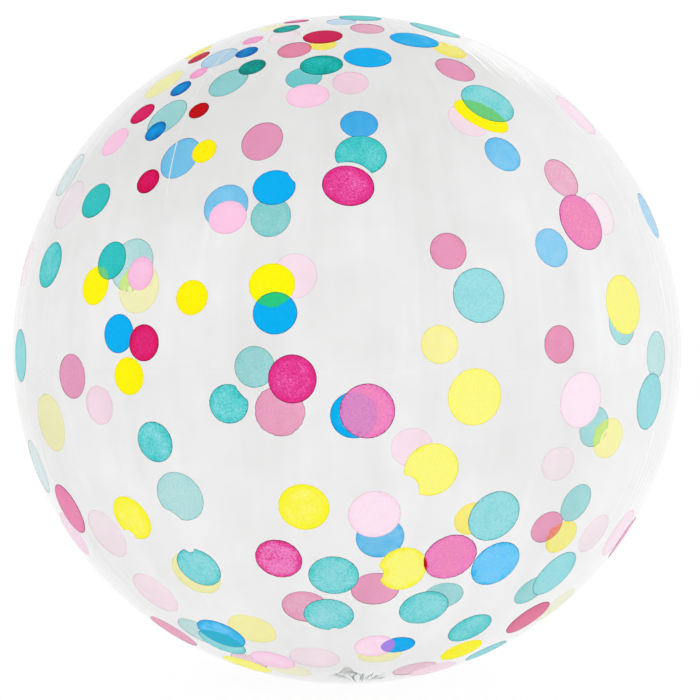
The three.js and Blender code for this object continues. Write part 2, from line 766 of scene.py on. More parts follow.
    def build(self) -> bpy.types.Object:
        """Builds the bag as one piece: the outer skin facing out, the inner skin facing the air in it.

        Returns:
            The film's object.
        """
        outside = self.outer_skin()
        inside = self.inner_skin(outside)
        rows, columns = outside.shape[:2]
        inner_rows = inside.shape[0]
        crown = self.ball.centre + self.ball.film_radius
        neck_top = float(inside[0, :, 2].max())
        poles = np.array([
            (0.0, 0.0, self.tail_clearance),
            (0.0, 0.0, crown),
            (0.0, 0.0, neck_top),
            (0.0, 0.0, crown - self.wall),
        ])
        points = np.concatenate((outside.reshape(-1, 3), inside.reshape(-1, 3), poles))
        inner_start = rows * columns
        pole = inner_start + inner_rows * columns
        last_outer = (rows - 1) * columns
        last_inner = inner_start + (inner_rows - 1) * columns
        faces = [
            ring_faces(rows, columns, 0),
            ring_faces(inner_rows, columns, inner_start)[:, ::-1],
            fan_faces(pole, 0, columns),
            fan_faces(pole + 1, last_outer, columns)[:, ::-1],
            fan_faces(pole + 2, inner_start, columns)[:, ::-1],
            fan_faces(pole + 3, last_inner, columns),
        ]
        piece = make_piece("film_bag", points, faces, "clear_film")
        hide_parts(FILM_NODE)
        piece.data.materials.append(self.finish.material())
        return piece


@dataclass(frozen=True)
class MilkyAndCreaseShadeFinish:
    """Film that is welded or gathered: of two close tones that follow a noise, and less see-through.

    The weld's pale tones are its own milky colour; the gathered folds' dark teal is painted shade of the
    creases, over the faint green of stacked film.

    Attributes:
        name: the material's name.
        dark, pale: display colours of the two tones.
        solidness: share of the light that one face of it holds back.
        gloss: roughness of its face.
        spots: features to the metre.
    """

    name: str
    dark: Colour
    pale: Colour
    solidness: float
    gloss: float = 0.25
    spots: float = 120.0

    def material(self) -> bpy.types.Material:
        """Builds the doubled film's material.

        Returns:
            The material.
        """
        bench = NodeBench(self.name)
        bench.plain(
            Alpha=self.solidness,
            IOR=PLASTIC_REFRACTION,
            Specular_IOR_Level=0.3,
            Roughness=self.gloss,
        )
        drift = bench.noise(bench.place(), self.spots, detail=2.0)
        tone = bench.ramp(drift, [(0.35, self.dark), (0.65, self.pale)])
        bench.join(tone, bench.shader.inputs["Base Color"])
        return bench.material


@dataclass(frozen=True)
class WeldBand:
    """The weld that closes the bag: a narrow flat band through the film's wall, milky high up.

    Attributes:
        ball: the form that it lies on.
        finish: the weld's finish.
        longitude: the meridian that it goes up.
        lean: turn of the circle that it leans over on to.
        lowest, highest: latitudes of its ends.
        corner: sharpness of the corner where it starts to lean.
        steep: tangent of the latitude above which the corner has no effect.
        widens_from, widens_to: latitudes between which it grows to its full width.
        width, foot_width: its width there and below.
        above, below: how far it reaches out of the film's outside and into its wall.
        rows: cross-sections along it.
    """

    ball: BallForm
    finish: MilkyAndCreaseShadeFinish = MilkyAndCreaseShadeFinish("weld_film", (244, 247, 249), (253, 254, 254), 0.9)
    longitude: float = math.radians(-144.0)
    lean: float = math.radians(14.0)
    lowest: float = math.radians(24.0)
    highest: float = math.radians(75.2)
    corner: float = 6.0
    steep: float = 3.0
    widens_from: float = math.radians(29.0)
    widens_to: float = math.radians(36.0)
    width: float = 1.5 * MM
    foot_width: float = 0.4 * MM
    above: float = 0.25 * MM
    below: float = 0.19 * MM
    rows: int = 70

    def middle(self) -> np.ndarray:
        """Unit vectors up the band's middle line.

        It goes up a meridian, and over the upper half it leans over on to a circle round the ball that is
        turned by the lean: there, the sine of the way round from the meridian is tan(latitude) tan(lean).
        A soft corner joins the two: log(1 + exp(c t)) / c in place of t, with c its sharpness.

        Returns:
            One unit vector for each row.
        """
        latitude = np.linspace(self.lowest, self.highest, self.rows)
        climb = np.tan(latitude)
        soft = np.log1p(np.exp(self.corner * np.minimum(climb, self.steep))) / self.corner
        eased = np.where(climb > self.steep, climb, soft)
        way_round = np.arcsin(np.clip(eased * math.tan(self.lean), -1.0, 1.0))
        return sphere_direction(self.longitude + way_round, latitude)

    def build(self) -> bpy.types.Object:
        """Builds the band as a closed strip with a few points to each of its cross-sections.

        Returns:
            The band's object.
        """
        middle = self.middle()
        along = np.gradient(middle, axis=0)
        along /= np.linalg.norm(along, axis=-1, keepdims=True)
        across = np.cross(along, middle)
        latitude = np.arcsin(middle[:, 2])
        grown = smooth_step(latitude, self.widens_from, self.widens_to)
        half = 0.5 * (self.foot_width + (self.width - self.foot_width) * grown)
        turn = np.linspace(0.0, FULL_TURN, SECTION_POINTS, endpoint=False)
        sideways = across[:, None, :] * (half[:, None] * np.sin(turn)[None, :])[..., None]
        thick = 0.5 * (self.above + self.below)
        rise = self.above - thick + thick * np.cos(turn)
        skin = self.ball.skin(middle)[:, None] + rise[None, :]
        points = middle[:, None, :] * skin[..., None] + sideways
        points[..., 2] += self.ball.centre
        ends = points[[0, -1]].mean(axis=1)
        last = (self.rows - 1) * SECTION_POINTS
        pole = self.rows * SECTION_POINTS
        faces = [
            ring_faces(self.rows, SECTION_POINTS, 0),
            fan_faces(pole, 0, SECTION_POINTS),
            fan_faces(pole + 1, last, SECTION_POINTS)[:, ::-1],
        ]
        piece = make_piece("weld_band", np.concatenate((points.reshape(-1, 3), ends)), faces, "clear_film")
        piece.data.materials.append(self.finish.material())
        piece.visible_shadow = False
        return piece


@dataclass(frozen=True)
class GatherFolds:
    """Short folds of gathered film that lie on the inside of the dimple and the ring, dark with painted
    crease shade.

    They fan away from a point in front of the tie, because the neck was pulled over before it was tied.

    Attributes:
        bag: the film that they lie on.
        finish: of the doubled film.
        count: how many there are.
        pulled: how far to the right of the axis the middle of the gather lies.
        spread_across, spread_back: how far from there the folds reach, to each side and front to back.
        keep_off: how far they are kept off the axis.
        fan_point: where the fan's point lies, front to back.
        wander: radians that a fold may be turned from the fan.
        length, length_spread: a fold's usual length, and the most that it differs from it.
        width, height: of a fold at its middle.
        clear: gap between a fold and the film.
        steps: rings along a fold.
    """

    bag: FilmBag
    # dark teal tones: painted shade of the creases, over the faint green of stacked film
    finish: MilkyAndCreaseShadeFinish = MilkyAndCreaseShadeFinish("gathered_film_crease_shade", (34, 92, 96), (112, 152, 150), 0.62, spots=260.0)
    count: int = 26
    pulled: float = 12.0 * MM
    spread_across: float = 18.0 * MM
    spread_back: float = 13.0 * MM
    keep_off: float = 9.0 * MM
    fan_point: float = -34.0 * MM
    wander: float = 0.06
    length: float = 19.0 * MM
    length_spread: float = 8.0 * MM
    width: float = 1.35 * MM
    height: float = 0.4 * MM
    clear: float = 0.22 * MM
    steps: int = 12

    def floor_height(self, radius: np.ndarray) -> np.ndarray:
        """Height of the film's inside, which follows the dimple's curve and then the ball's.

        Args:
            radius: distance from the axis.
        Returns:
            The height that a fold lies at.
        """
        bag = self.bag
        share = np.clip((radius - bag.neck_radius) / (bag.dimple_radius - bag.neck_radius), 0.0, 1.0)
        dimple = bag.dimple_depth * (1.0 - share) ** 3
        dimple += 0.5 * bag.pleat_lift * np.sin(math.pi * share)
        ball = bag.ball.centre - np.sqrt(bag.ball.film_radius ** 2 - radius ** 2)
        return np.maximum(np.maximum(dimple, ball), 0.0) + bag.wall + self.clear

    def lines(self) -> np.ndarray:
        """Middle lines of the folds, seen from above.

        The middles are spread over an oval about the pulled point: evenly from side to side, and by a sine
        of the fold's number from front to back. Each fold runs straight away from the fan's point; lengths
        follow a sine too. All points are then pushed out from the axis, to sqrt(r^2 + k^2) with k the
        distance kept off it, so none climbs to the knot.

        Returns:
            Level points by fold, step and axis.
        """
        number = np.arange(self.count)
        side = np.linspace(-1.0, 1.0, self.count) + 0.05 * np.sin(5.3 * number)
        middle_x = self.pulled + self.spread_across * side
        depth = np.sqrt(1.0 - 0.8 * np.clip(side, -1.0, 1.0) ** 2)
        middle_y = self.spread_back * depth * np.sin(3.7 * number + 0.6)
        heading = np.arctan2(middle_y - self.fan_point, middle_x - self.pulled)
        heading += self.wander * np.sin(2.1 * number)
        length = self.length + self.length_spread * np.sin(2.4 * number + 1.0)
        along = np.linspace(-0.5, 0.5, self.steps)
        origin = np.stack((middle_x, middle_y), axis=-1)
        step = np.stack((np.cos(heading), np.sin(heading)), axis=-1) * length[:, None]
        points = origin[:, None, :] + step[:, None, :] * along[None, :, None]
        distance = np.linalg.norm(points, axis=-1, keepdims=True)
        return points * np.sqrt(1.0 + (self.keep_off / distance) ** 2)

    def build(self) -> bpy.types.Object:
        """Builds all folds as one piece of closed slender ridges, narrowest at their ends.

        Returns:
            The object that holds the folds.
        """
        number = np.arange(self.count)
        level = self.lines()
        heading = np.gradient(level, axis=1)
        heading /= np.linalg.norm(heading, axis=-1, keepdims=True)
        across = np.stack((-heading[..., 1], heading[..., 0], np.zeros(level.shape[:2])), axis=-1)
        along = np.linspace(0.0, 1.0, self.steps)
        taper = np.sqrt(np.sin(math.pi * np.clip(along, 0.02, 0.98)))
        half = 0.5 * self.width * (0.75 + 0.35 * np.sin(4.1 * number))[:, None] * taper
        tall = 0.5 * self.height * taper
        height = self.floor_height(np.linalg.norm(level, axis=-1)) + tall[None, :]
        middle = np.concatenate((level, height[..., None]), axis=-1)
        turn = np.linspace(0.0, FULL_TURN, SECTION_POINTS, endpoint=False)
        points = middle[:, :, None, :] + across[:, :, None, :] * (half[..., None] * np.sin(turn))[..., None]
        points[..., 2] -= tall[None, :, None] * np.cos(turn)
        ends = points[:, [0, -1]].mean(axis=2)
        size = self.steps * SECTION_POINTS + 2
        points = np.concatenate((points.reshape(self.count, -1, 3), ends), axis=1).reshape(-1, 3)
        starts = (np.arange(self.count) * size)[:, None, None]
        last = (self.steps - 1) * SECTION_POINTS
        faces = [
            (ring_faces(self.steps, SECTION_POINTS, 0)[None] + starts).reshape(-1, 4),
            (fan_faces(size - 2, 0, SECTION_POINTS)[None] + starts).reshape(-1, 3),
            (fan_faces(size - 1, last, SECTION_POINTS)[:, ::-1][None] + starts).reshape(-1, 3),
        ]
        piece = make_piece("gather_folds", points, faces, "clear_film")
        piece.data.materials.append(self.finish.material())
        return piece


# ---------------------------------------------------------------------------------------------------------
# the print
# ---------------------------------------------------------------------------------------------------------


@dataclass(frozen=True)
class Bite:
    """A place where a dot is cut back by a round edge, or where a round lobe stands out.

    Attributes:
        bearing: degrees round the dot, from east towards north, at which the cut is deepest.
        depth: millimetres that it reaches into the dot; below zero, the lobe stands out by so much.
        across: millimetres across the circle that cuts or is added.
    """

    bearing: float
    depth: float
    across: float


@dataclass(frozen=True)
class Dot:
    """One printed dot.

    Attributes:
        longitude: degrees, 0 towards the viewer and above 0 to the right.
        latitude: degrees up from the widest place.
        across: millimetres from east to west on the blown-up ball.
        squash: its height north to south as a share of its width.
        lean: degrees that its long axis is turned from east towards north.
        ragged: how uneven its edge is, as a share of its radius.
        red: how much yellow ink was mixed under it, from 0 to 1, which turns magenta ink red.
        thin: how much paler its ink is than the rule for its width, as millimetres of width.
        bites: where it is cut back.
    """

    longitude: float
    latitude: float
    across: float
    squash: float = 1.0
    lean: float = 0.0
    ragged: float = 0.004
    red: float = 0.0
    thin: float = 0.0
    bites: tuple[Bite, ...] = ()

    @property
    def middle(self) -> np.ndarray:
        """Unit vector to the dot's middle."""
        return sphere_direction(np.radians(self.longitude), np.radians(self.latitude))


class InkLayer(Enum):
    """The inks in the order that they are printed; each next one lies on top."""

    YELLOW = 0
    TEAL = 1
    BLUE = 2
    MAGENTA = 3
    PINK = 4


@dataclass(frozen=True)
class DotLight:
    """How the studio's light and the clear wall change an ink, for inks that are written as they look.

    Attributes:
        outside: brightness of a plain white face on the near side.
        inside: brightness of a plain white underside on the far side, seen through the near wall.
        haze: brightness that the near wall lays over the far side.
        palest: the most of its light that an ink gives back.
    """

    outside: float = 1.35
    inside: float = 0.90
    haze: float = 0.055
    palest: float = 0.98

    def near(self, colour: Colour) -> Linear:
        """Ink that looks like a display colour on the near side."""
        return self.ink(colour, self.outside, 0.0)

    def far(self, colour: Colour) -> Linear:
        """Ink that looks like a display colour on the far side."""
        return self.ink(colour, self.inside, self.haze)

    def ink(self, colour: Colour, light: float, haze: float) -> Linear:
        """Takes the haze off a display colour and divides what is left by the light.

        Args:
            colour: how the ink looks.
            light: brightness of a plain white face in its place.
            haze: brightness laid over it.
        Returns:
            The ink's own linear colour, held between black and the palest ink.
        """
        levels = [(level - haze) / light for level in display_colour(*colour)[:3]]
        red, green, blue = (min(max(level, 0.0), self.palest) for level in levels)
        return (red, green, blue, 1.0)


@dataclass(frozen=True)
class InkFinish:
    """One ink.

    Attributes:
        name: the material's name.
        widths: pairs of a dot's width in millimetres and its display colour. A dot that the film has
            stretched further is wider and paler.
        painted_backlight_far_widths: the same for the undersides, as they look across the ball. They are
        paler than the tops, with painted light that shines through the ink from behind.
        over_yellow: display colour where it lies on yellow ink.
        over_cool: display colour where it lies on teal or blue ink.
        painted_backlight_far_over: display colour of the undersides in both cases, with the same painted
        backlight.
        rim: display colour that multiplies the thin dark edge.
        mottle: how far patches of thicker and thinner ink move it along the widths, in millimetres.
        grain: the same for the fine grain.
        specks: how far the grain alone darkens and lightens the ink, as a share.
        edge_gain: how much denser the ink is towards the edge, in millimetres of width.
        through: share of its light that comes through it from behind.
        roughness: of its face.
        light: how the studio's light changes it.
        NARROWEST, WIDEST: the dots' widths that its colours run between, in millimetres.
        PATCH_SCALE, GRAIN_SCALE: features to the metre of its thicker patches and of its grain.
        EDGE_REACH: millimetres in from the edge over which it grows thinner.
        OVERLAP_BLUR: millimetres to each side of an overlap's edge over which the colours mix.
        RIM_FADE: millimetres in from the edge between which the thin dark edge fades out.
        RIM_WANDER: millimetres that the grain moves the thin dark edge.
        DULL_SPREAD: how far the grain moves its roughness.
        GRAIN_HEIGHT, GRAIN_TILT: height of its grain, and how much of the grain's tilt is used.
    """

    name: str
    widths: tuple[tuple[float, Colour], ...]
    painted_backlight_far_widths: tuple[tuple[float, Colour], ...]
    over_yellow: Colour
    over_cool: Colour
    painted_backlight_far_over: Colour
    rim: Colour = (222, 222, 222)
    mottle: float = 5.0
    grain: float = 4.0
    specks: float = 0.10
    edge_gain: float = 1.5
    through: float = 0.3
    roughness: float = 0.46
    light: DotLight = field(default_factory=DotLight)

    NARROWEST: ClassVar[float] = 15.0
    WIDEST: ClassVar[float] = 80.0
    PATCH_SCALE: ClassVar[float] = 70.0
    GRAIN_SCALE: ClassVar[float] = 620.0
    EDGE_REACH: ClassVar[float] = 6.0
    OVERLAP_BLUR: ClassVar[float] = 0.4
    RIM_FADE: ClassVar[tuple[float, float]] = (0.15, 0.85)
    RIM_WANDER: ClassVar[float] = 0.25
    DULL_SPREAD: ClassVar[float] = 0.08
    GRAIN_HEIGHT: ClassVar[float] = 0.03 * MM
    GRAIN_TILT: ClassVar[float] = 0.4

    def stops(self, widths: tuple[tuple[float, Colour], ...], far: bool) -> list[tuple[float, Linear]]:
        """Turns widths and display colours into places on the ramp and ink colours.

        Args:
            widths: pairs of a width and a display colour.
            far: whether they are those of the undersides.
        Returns:
            Pairs of a share from 0 to 1 and a linear colour.
        """
        room = self.WIDEST - self.NARROWEST
        tone = self.light.far if far else self.light.near
        return [((size - self.NARROWEST) / room, tone(colour)) for size, colour in widths]

    def material(self) -> bpy.types.Material:
        """Builds the ink's material from the values stored at the dots' points.

        Returns:
            A material whose colour follows the dot's width, a mottle, a grain, its edge, and the inks under
            it, with paler undersides that hold painted light from behind the ink.
        """
        bench = NodeBench(self.name)
        bench.plain(IOR=PLASTIC_REFRACTION, Specular_IOR_Level=0.06)
        place = bench.place()
        patches = bench.noise(place, self.PATCH_SCALE, detail=2.0)
        grain = bench.noise(place, self.GRAIN_SCALE, detail=3.0, roughness=0.7)
        edge = bench.point_value("edge")
        width = bench.point_value("width")
        for source, run, reach in (
            (patches, NOISE_MOST, self.mottle),
            (grain, NOISE_MOST, self.grain),
            (edge, (0.0, self.EDGE_REACH), self.edge_gain),
        ):
            width = bench.reckon("ADD", width, bench.span(source, *run, -reach, reach))
        share = bench.span(width, self.NARROWEST, self.WIDEST)
        blur = self.OVERLAP_BLUR
        over_cool = bench.span(bench.point_value("on_cool"), -blur, blur)
        over_yellow = bench.span(bench.point_value("on_yellow"), -blur, blur)
        top = bench.ramp(share, self.stops(self.widths, far=False))
        top = bench.blend(over_cool, top, self.light.near(self.over_cool))
        top = bench.blend(over_yellow, top, self.light.near(self.over_yellow))
        # the undersides' paler colours paint in the light that shines through the ink from behind
        under = bench.ramp(share, self.stops(self.painted_backlight_far_widths, far=True))
        over_any = bench.reckon("MAXIMUM", over_cool, over_yellow)
        under = bench.blend(over_any, under, self.light.far(self.painted_backlight_far_over))
        colour = bench.blend(bench.point_value("under"), top, under)
        wander = bench.span(grain, *NOISE_MIDDLE, -self.RIM_WANDER, self.RIM_WANDER)
        rim = bench.span(bench.reckon("ADD", edge, wander), *self.RIM_FADE, 1.0, 0.0)
        colour = bench.blend(rim, colour, self.rim, "MULTIPLY")
        specks = bench.span(grain, *NOISE_MIDDLE, 1.0 - self.specks, 1.0 + self.specks)
        colour = bench.scale_colour(colour, specks)
        bench.join(colour, bench.shader.inputs["Base Color"])
        smooth = self.roughness - self.DULL_SPREAD
        dull = self.roughness + self.DULL_SPREAD
        bench.join(bench.span(grain, *NOISE_MIDDLE, smooth, dull), bench.shader.inputs["Roughness"])
        bench.bump(grain, self.GRAIN_HEIGHT, self.GRAIN_TILT)
        bench.let_light_through(colour, self.through)
        return bench.material


@dataclass(frozen=True)
class InkPrint:
    """All dots of one ink, as one piece of closed thin lenses.

    A lens has its top face just over the film's outside and its underside just within the film's wall, so
    that it shows from both sides. Each next ink reaches a little further both ways.

    Attributes:
        ball: the form that they lie on.
        layer: which ink it is.
        finish: the ink's finish.
        dots: its dots.
        yellow_dots, cool_dots: the dots under them of yellow ink, and of teal or blue ink.
        slot: the record's material slot.
        points_round: points round a dot.
        first_height, layer_height: height of the first ink over the film, and what each next one adds.
        first_depth, layer_depth: the same for the undersides, inwards.
        red_reach: millimetres between the depths that stand for no yellow ink under a dot and for full.
        furthest: millimetres from an edge past which its distance is held.
        nearby: radians from a lower dot's middle past which it is left out.
        top_rings, under_rings: the rings of a lens, as shares of the way to its outline.
    """

    ball: BallForm
    layer: InkLayer
    finish: InkFinish
    dots: tuple[Dot, ...]
    yellow_dots: tuple[Dot, ...]
    cool_dots: tuple[Dot, ...]
    slot: str
    points_round: int = 96
    first_height: float = 0.05 * MM
    layer_height: float = 0.045 * MM
    first_depth: float = 0.065 * MM
    layer_depth: float = 0.012 * MM
    red_reach: float = 0.8
    furthest: float = 30.0
    nearby: float = 0.5
    top_rings: tuple[float, ...] = (0.26, 0.5, 0.7, 0.84, 0.93, 0.975, 1.0)
    under_rings: tuple[float, ...] = (1.0, 0.96, 0.84, 0.6, 0.3)

    def outline(self, dot: Dot, number: int) -> tuple[np.ndarray, np.ndarray]:
        """A dot's outline, flat, in metres east and north of its middle.

        From an inner point, which moves away from the bites, each bearing runs out to where it leaves the
        dot's ellipse, or a lobe's circle if that is further, but no further than where it meets a biting
        circle. A few sines of the bearing then make the edge uneven.

        Args:
            dot: the dot.
            number: its place in the list, which shifts the unevenness.
        Returns:
            The inner point, and the reach from it at each bearing.
        """
        bearing = np.linspace(0.0, FULL_TURN, self.points_round, endpoint=False)
        rays = np.stack((np.cos(bearing), np.sin(bearing)), axis=-1)
        half = dot.across * MM / 2.0
        inner = np.zeros(2)
        cuts = []
        lobes = []
        for bite in dot.bites:
            angle = math.radians(bite.bearing)
            towards = np.array((math.cos(angle), math.sin(angle)))
            circle_radius = bite.across * MM / 2.0
            if bite.depth < 0.0:
                lobes.append((towards * (half - circle_radius - bite.depth * MM), circle_radius))
                continue
            cuts.append((towards * (half + circle_radius - bite.depth * MM), circle_radius))
            inner -= towards * bite.depth * MM / 2.0
        lean = math.radians(dot.lean)
        turn = np.array([[math.cos(lean), math.sin(lean)], [-math.sin(lean), math.cos(lean)]])
        size = np.array((half, half * dot.squash))
        ray = rays @ turn.T / size
        start = turn @ inner / size
        along = ray @ start
        steep = (ray ** 2).sum(-1)
        reach = (-along + np.sqrt(along ** 2 - steep * (start @ start - 1.0))) / steep
        for circle, circle_radius in lobes:
            offset = inner - circle
            along = rays @ offset
            inside = along ** 2 - (offset @ offset - circle_radius ** 2)
            far = -along + np.sqrt(np.maximum(inside, 0.0))
            reach = np.where(inside > 0.0, np.maximum(reach, far), reach)
        for circle, circle_radius in cuts:
            offset = inner - circle
            along = rays @ offset
            inside = along ** 2 - (offset @ offset - circle_radius ** 2)
            near = -along - np.sqrt(np.maximum(inside, 0.0))
            hit = (inside > 0.0) & (near > 0.0)
            reach = np.where(hit, np.minimum(reach, near), reach)
        uneven = 0.5 * np.sin(5.0 * bearing + 1.7 * number) + 0.4 * np.sin(11.0 * bearing + 2.9 * number)
        uneven += 0.7 * np.sin(23.0 * bearing + 0.8 * number) * np.sin(3.0 * bearing + number)
        reach = reach * (1.0 + dot.ragged * uneven)
        return inner, reach

    def lens(self, dot: Dot, number: int) -> tuple[np.ndarray, dict[str, np.ndarray]]:
        """One dot's lens.

        Rings at fixed shares of the outline are carried from the flat onto the ball: a point at distance s
        from the middle goes to the turn s / radius in its own direction. The top's rings run outwards, and
        the underside's run back in.

        Args:
            dot: the dot.
            number: its place in the list.
        Returns:
            The points, ring by ring and then the two inner points, and the values stored at them.
        """
        inner, reach = self.outline(dot, number)
        bearing = np.linspace(0.0, FULL_TURN, self.points_round, endpoint=False)
        shares = np.array(self.top_rings + self.under_rings)[:, None]
        flat_x = inner[0] + shares * reach * np.cos(bearing)
        flat_y = inner[1] + shares * reach * np.sin(bearing)
        flat = np.stack((flat_x, flat_y), axis=-1).reshape(-1, 2)
        flat = np.concatenate((flat, inner[None, :], inner[None, :]))
        longitude = math.radians(dot.longitude)
        east = np.array((math.cos(longitude), math.sin(longitude), 0.0))
        north = np.cross(dot.middle, east)
        distance = np.linalg.norm(flat, axis=-1, keepdims=True)
        turn = distance / self.ball.radius
        heading = (flat[:, :1] * east + flat[:, 1:] * north) / np.maximum(distance, 1e-9)
        directions = np.cos(turn) * dot.middle + np.sin(turn) * heading
        directions /= np.linalg.norm(directions, axis=-1, keepdims=True)
        top_count = len(self.top_rings) * self.points_round
        under_count = len(self.under_rings) * self.points_round
        under = np.concatenate((np.zeros(top_count), np.ones(under_count), [0.0, 1.0]))
        height = self.first_height + self.layer_height * self.layer.value
        depth = self.first_depth + self.layer_depth * self.layer.value
        level = np.where(under > 0.5, -depth, height)
        points = directions * (self.ball.skin(directions) + level)[:, None]
        points[:, 2] += self.ball.centre
        mixed = self.red_reach * (dot.red - 0.5)
        edge = ((1.0 - shares) * reach[None, :] / MM).ravel()
        edge = np.concatenate((edge, np.full(2, reach.min() / MM)))
        stored = {
            "edge": edge,
            "under": under,
            "width": np.full(len(flat), dot.across * math.sqrt(dot.squash) + dot.thin),
            "on_yellow": np.maximum(self.depth_over(self.yellow_dots, directions), mixed),
            "on_cool": self.depth_over(self.cool_dots, directions),
        }
        return points, stored

    def depth_over(self, lower_dots: tuple[Dot, ...], directions: np.ndarray) -> np.ndarray:
        """How far inside a dot of a lower ink each point lies, in millimetres, and below zero outside.

        In each lower dot's own flat frame, turned to its long axis, with its short axis stretched to the
        long one, the distance from the middle is taken off the half width and shrunk by the root of the
        squash.

        Args:
            lower_dots: the dots printed before, or none.
            directions: unit vectors to the points.
        Returns:
            The greatest depth over all lower dots.
        """
        deepest = np.full(len(directions), -self.furthest)
        for lower in lower_dots:
            longitude = math.radians(lower.longitude)
            lean = math.radians(lower.lean)
            east = np.array((math.cos(longitude), math.sin(longitude), 0.0))
            north = np.cross(lower.middle, east)
            long_axis = math.cos(lean) * east + math.sin(lean) * north
            short_axis = math.cos(lean) * north - math.sin(lean) * east
            turned = np.arccos(np.clip(directions @ lower.middle, -1.0, 1.0))
            grown = turned / np.maximum(np.sin(turned), 1e-9) * self.ball.radius / MM
            away = np.hypot(directions @ long_axis, directions @ short_axis / lower.squash) * grown
            depth = (lower.across / 2.0 - away) * math.sqrt(lower.squash)
            deepest = np.maximum(deepest, np.where(turned < self.nearby, depth, -self.furthest))
        return np.clip(deepest, -self.furthest, self.furthest)

    def build(self) -> bpy.types.Object:
        """Builds the ink's piece and gives it its finish.

        Returns:
            The object that holds all dots of this ink.
        """
        rows = len(self.top_rings) + len(self.under_rings)
        count = rows * self.points_round + 2
        made = [self.lens(dot, number) for number, dot in enumerate(self.dots)]
        points = np.concatenate([place for place, _ in made])
        quads = ring_faces(rows, self.points_round, 0)[:, ::-1]
        top_fan = fan_faces(count - 2, 0, self.points_round)[:, ::-1]
        under_fan = fan_faces(count - 1, (rows - 1) * self.points_round, self.points_round)
        starts = np.arange(len(self.dots)) * count
        faces = [
            (quads[None] + starts[:, None, None]).reshape(-1, 4),
            (top_fan[None] + starts[:, None, None]).reshape(-1, 3),
            (under_fan[None] + starts[:, None, None]).reshape(-1, 3),
        ]
        piece = make_piece(f"dots_{self.layer.name.lower()}", points, faces, self.slot)
        for name in made[0][1]:
            add_point_values(piece, name, np.concatenate([stored[name] for _, stored in made]))
        piece.data.materials.append(self.finish.material())
        piece.visible_shadow = False
        piece.visible_diffuse = False
        return piece


YELLOW_DOTS = (
    # front, small and strong ones at the upper left first
    Dot(-26.4, 31.7, 21.5, squash=1.07), Dot(-43, 9.8, 31.5), Dot(-23.8, 7.7, 27.6), Dot(-35, -4, 30),
    Dot(-11.2, 9.5, 36.3, squash=0.92),
    Dot(-7, -24, 40), Dot(-40.6, -27, 40, bites=(Bite(238, 4.5, 13),)), Dot(19.3, -7, 44.5),
    Dot(27.7, 38.9, 48.5, squash=0.60, lean=-33, thin=-6),
    Dot(10.3, -35.3, 39, squash=1.14, bites=(Bite(192, 4, 22),)),
    Dot(13.2, -18, 43.4, bites=(Bite(219, 7, 28),)),
    Dot(49, 7, 49, thin=-2), Dot(37.9, -58.2, 37, squash=1.05, thin=-1), Dot(-44, -65.5, 43.6),
    # back
    Dot(-84, 63.3, 27, thin=7), Dot(-100, 55, 38.5, squash=1.1, thin=13), Dot(-163.5, 74.6, 26, thin=5),
    Dot(-86, 77, 25, thin=42),
    Dot(117.5, 69, 34, thin=3), Dot(-134, 12, 52, thin=5), Dot(-105.3, -13.4, 56, thin=3),
    Dot(-133.4, -47.1, 54, thin=-1),
    Dot(-137, -63.5, 49, ragged=0.03, thin=-3), Dot(161, 1, 41), Dot(149, -35, 38, thin=-5),
    Dot(119.4, -37.3, 41.5, squash=0.9, thin=-2),
    Dot(117.3, -16.8, 47.5, squash=0.86), Dot(89, -50.7, 45, thin=29), Dot(157.8, -74, 43, thin=14),
    Dot(-109, -79.5, 38, thin=32),
)

BLUE_DOTS = (
    Dot(-42, 46.4, 20), Dot(-40.5, 36.5, 21), Dot(-30, 56, 20),
    Dot(-12, 24.8, 34.2, squash=0.9, bites=(Bite(36, 2.2, 50),)),
    Dot(-37, 2.4, 31), Dot(-10.6, 5.3, 34.7, squash=0.94), Dot(5.4, 53, 39.4, squash=0.83, ragged=0.008),
    Dot(22.4, 60.2, 43.4, squash=0.75),
    Dot(1, -9.6, 36), Dot(-35.1, -52.4, 43.6, thin=-2.5), Dot(13.9, -54.3, 29, squash=0.92),
    Dot(29, -35, 43.2, squash=1.04, lean=12),
    # back
    Dot(-134.4, 39.3, 43.5, squash=1.13, ragged=0.012, bites=(Bite(130, -2.5, 15),)),
    Dot(-110, 65, 37, thin=24),
    Dot(-151.6, 29.4, 49, thin=-6),
    Dot(176.4, 49.3, 38.4, squash=0.95, thin=-5.4), Dot(137.3, 40.4, 40, squash=1.04, thin=-1),
    Dot(133, 20, 41, ragged=0.012, thin=7),
    Dot(89, 24, 44, thin=12), Dot(171.5, -40, 50, thin=-11), Dot(-150, 88, 27, thin=42),
)

